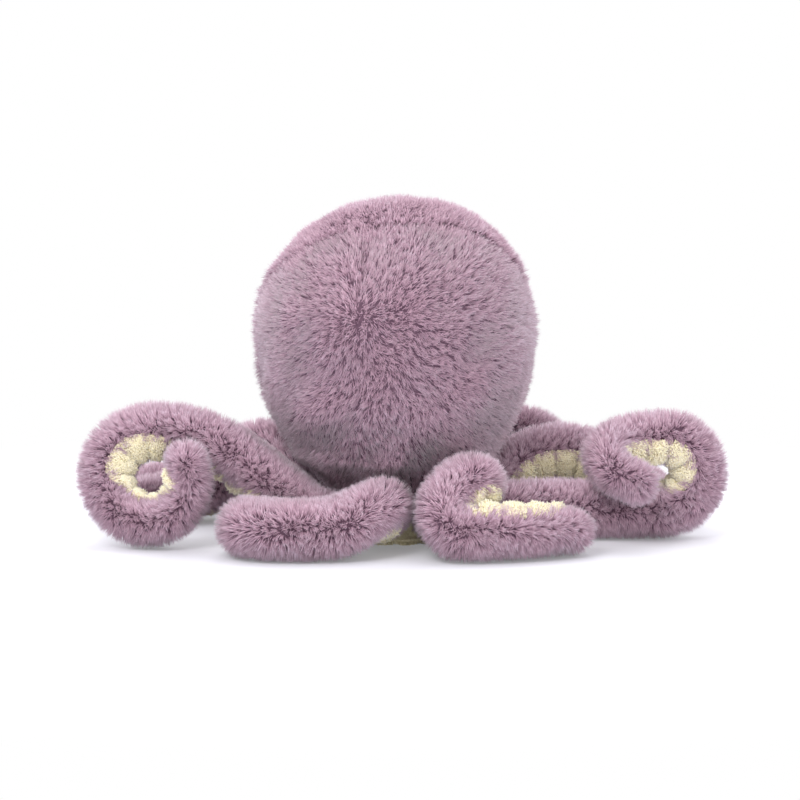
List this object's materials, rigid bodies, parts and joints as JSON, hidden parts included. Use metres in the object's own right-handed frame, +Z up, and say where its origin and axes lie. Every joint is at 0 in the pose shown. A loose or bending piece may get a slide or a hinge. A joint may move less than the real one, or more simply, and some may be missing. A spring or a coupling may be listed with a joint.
{
  "type": "plush octopus",
  "caption": "Stuffed toy octopus with a domed fur head over a weighted base, and long curling arms, furry above and ribbed cord pile below, each hinged where it meets the head.",
  "frame": {"origin": "middle of the flat underside of the base panel, on the floor", "axes": "+X along the widest span of the arms, to the right in the picture; +Y the way the face looks, away from the picture's camera; +Z up"},
  "size_m": [0.3521, 0.2249, 0.189],
  "materials": {
    "lilac_fur": "dense tufted pile, lilac with paler tips",
    "cream_cord": "short nubby pile in puffy crosswise ribs",
    "fibre_filling": "loose white polyester fibre",
    "pouch_cloth": "plain woven cloth over pellets",
    "black_thread": "embroidery thread",
    "eye_black": "polished",
    "washer_white": "moulded"
  },
  "bodies": {
    "body": {"head_back_panel": "lilac_fur", "head_front_panel": "lilac_fur", "head_stuffing": "fibre_filling", "eye_left": "eye_black", "eye_right": "eye_black", "eye_washer_left": "washer_white", "eye_washer_right": "washer_white", "mouth_stitch": "black_thread", "base_panel": "cream_cord", "pellet_pouch": "pouch_cloth"},
    "arm_left": {"arm_left_fur": "lilac_fur", "arm_left_cord": "cream_cord", "arm_left_stuffing": "fibre_filling"},
    "arm_right": {"arm_right_fur": "lilac_fur", "arm_right_cord": "cream_cord", "arm_right_stuffing": "fibre_filling"},
    "arm_rear_left": {"arm_rear_left_fur": "lilac_fur", "arm_rear_left_cord": "cream_cord", "arm_rear_left_stuffing": "fibre_filling"},
    "arm_rear_right": {"arm_rear_right_fur": "lilac_fur", "arm_rear_right_cord": "cream_cord", "arm_rear_right_stuffing": "fibre_filling"},
    "arm_right_front": {"arm_right_front_fur": "lilac_fur", "arm_right_front_cord": "cream_cord", "arm_right_front_stuffing": "fibre_filling"},
    "arm_left_front": {"arm_left_front_fur": "lilac_fur", "arm_left_front_cord": "cream_cord", "arm_left_front_stuffing": "fibre_filling"},
    "arm_front_right": {"arm_front_right_fur": "lilac_fur", "arm_front_right_cord": "cream_cord", "arm_front_right_stuffing": "fibre_filling"},
    "arm_front_left": {"arm_front_left_fur": "lilac_fur", "arm_front_left_cord": "cream_cord", "arm_front_left_stuffing": "fibre_filling"}
  },
  "joints": [
    {"name": "arm_left_hinge", "type": "hinge", "parent": "body", "child": "arm_left", "pos_m": [-0.03504, -0.02232, 0.0155], "axis": [0, 1, 0], "range_deg": [-35, 9]},
    {"name": "arm_right_hinge", "type": "hinge", "parent": "body", "child": "arm_right", "pos_m": [0.04056, -0.00899, 0.0155], "axis": [0, -1, 0], "range_deg": [-35, 16]},
    {"name": "arm_rear_left_hinge", "type": "hinge", "parent": "body", "child": "arm_rear_left", "pos_m": [-0.00899, -0.04056, 0.0155], "axis": [-1, 0, 0], "range_deg": [-35, 3]},
    {"name": "arm_rear_right_hinge", "type": "hinge", "parent": "body", "child": "arm_rear_right", "pos_m": [0.02232, -0.03504, 0.0155], "axis": [-0.866, -0.5, 0], "range_deg": [-35, 4]},
    {"name": "arm_right_front_hinge", "type": "hinge", "parent": "body", "child": "arm_right_front", "pos_m": [0.03504, 0.02232, 0.0155], "axis": [0.5373, -0.8434, 0], "range_deg": [-35, 9]},
    {"name": "arm_left_front_hinge", "type": "hinge", "parent": "body", "child": "arm_left_front", "pos_m": [-0.04056, 0.00899, 0.0155], "axis": [0.5, 0.866, 0], "range_deg": [-35, 4]},
    {"name": "arm_front_right_hinge", "type": "hinge", "parent": "body", "child": "arm_front_right", "pos_m": [0.00899, 0.04056, 0.0155], "axis": [0.866, -0.5, 0], "range_deg": [-35, 14]},
    {"name": "arm_front_left_hinge", "type": "hinge", "parent": "body", "child": "arm_front_left", "pos_m": [-0.02232, 0.03504, 0.0155], "axis": [0.8434, 0.5373, 0], "range_deg": [-35, 16]}
  ]
}
